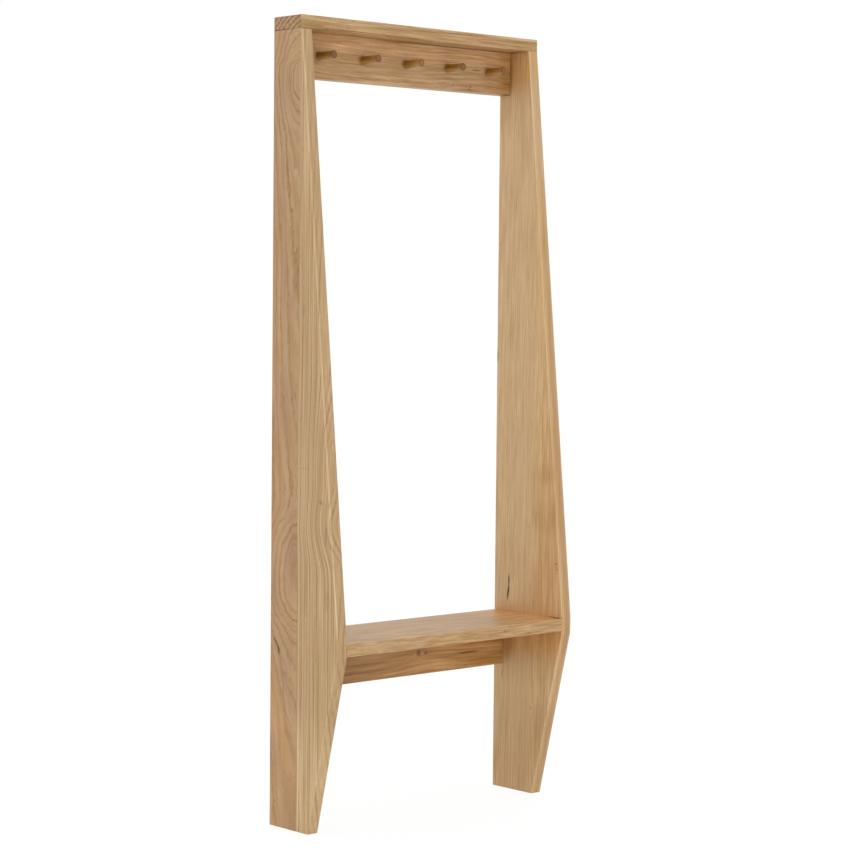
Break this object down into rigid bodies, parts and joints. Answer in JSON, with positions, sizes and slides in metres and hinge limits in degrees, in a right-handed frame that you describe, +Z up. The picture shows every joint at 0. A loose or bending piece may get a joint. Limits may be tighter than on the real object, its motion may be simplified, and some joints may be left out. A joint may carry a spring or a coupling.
{
  "type": "open frame wardrobe",
  "caption": "Open-frame hall stand in solid wood: two tapered side panels carry a top board, a rail with plain round coat pegs, and a low shelf on a rear apron.",
  "frame": {"origin": "on the floor, at the centre of the overall box in plan", "axes": "+Z up, +Y to the back so that -Y is the front, +X to the right of someone who faces the front"},
  "size_m": [0.75, 0.24, 1.87],
  "materials": {
    "oiled_oak": "planed, sanded and oiled, matt",
    "peg_oak": "turned, sanded and oiled, matt",
    "beech_dowel": "raw, compressed and chamfered",
    "zinc_plated_steel": "bright zinc plated",
    "die_cast_zinc": "die cast, dull grey"
  },
  "bodies": {
    "root": {"left_rear_stave": "oiled_oak", "left_front_stave": "oiled_oak", "right_rear_stave": "oiled_oak", "right_front_stave": "oiled_oak", "top_board": "oiled_oak", "peg_rail": "oiled_oak", "shelf_rear_stave": "oiled_oak", "shelf_front_stave": "oiled_oak", "apron": "oiled_oak", "coat_peg_1": "peg_oak", "coat_peg_2": "peg_oak", "coat_peg_3": "peg_oak", "coat_peg_4": "peg_oak", "coat_peg_5": "peg_oak", "screw_plugs": "peg_oak", "rail_end_dowels": "beech_dowel", "shelf_end_dowels": "beech_dowel", "apron_end_dowels": "beech_dowel", "rail_top_dowels": "beech_dowel", "apron_shelf_dowels": "beech_dowel", "top_dowels": "beech_dowel", "rail_cam_bolts": "zinc_plated_steel", "shelf_cam_bolts": "zinc_plated_steel", "apron_cam_bolts": "zinc_plated_steel", "top_screws": "zinc_plated_steel", "rail_cam_discs": "die_cast_zinc", "shelf_cam_discs": "die_cast_zinc", "apron_cam_discs": "die_cast_zinc"}
  },
  "joints": []
}
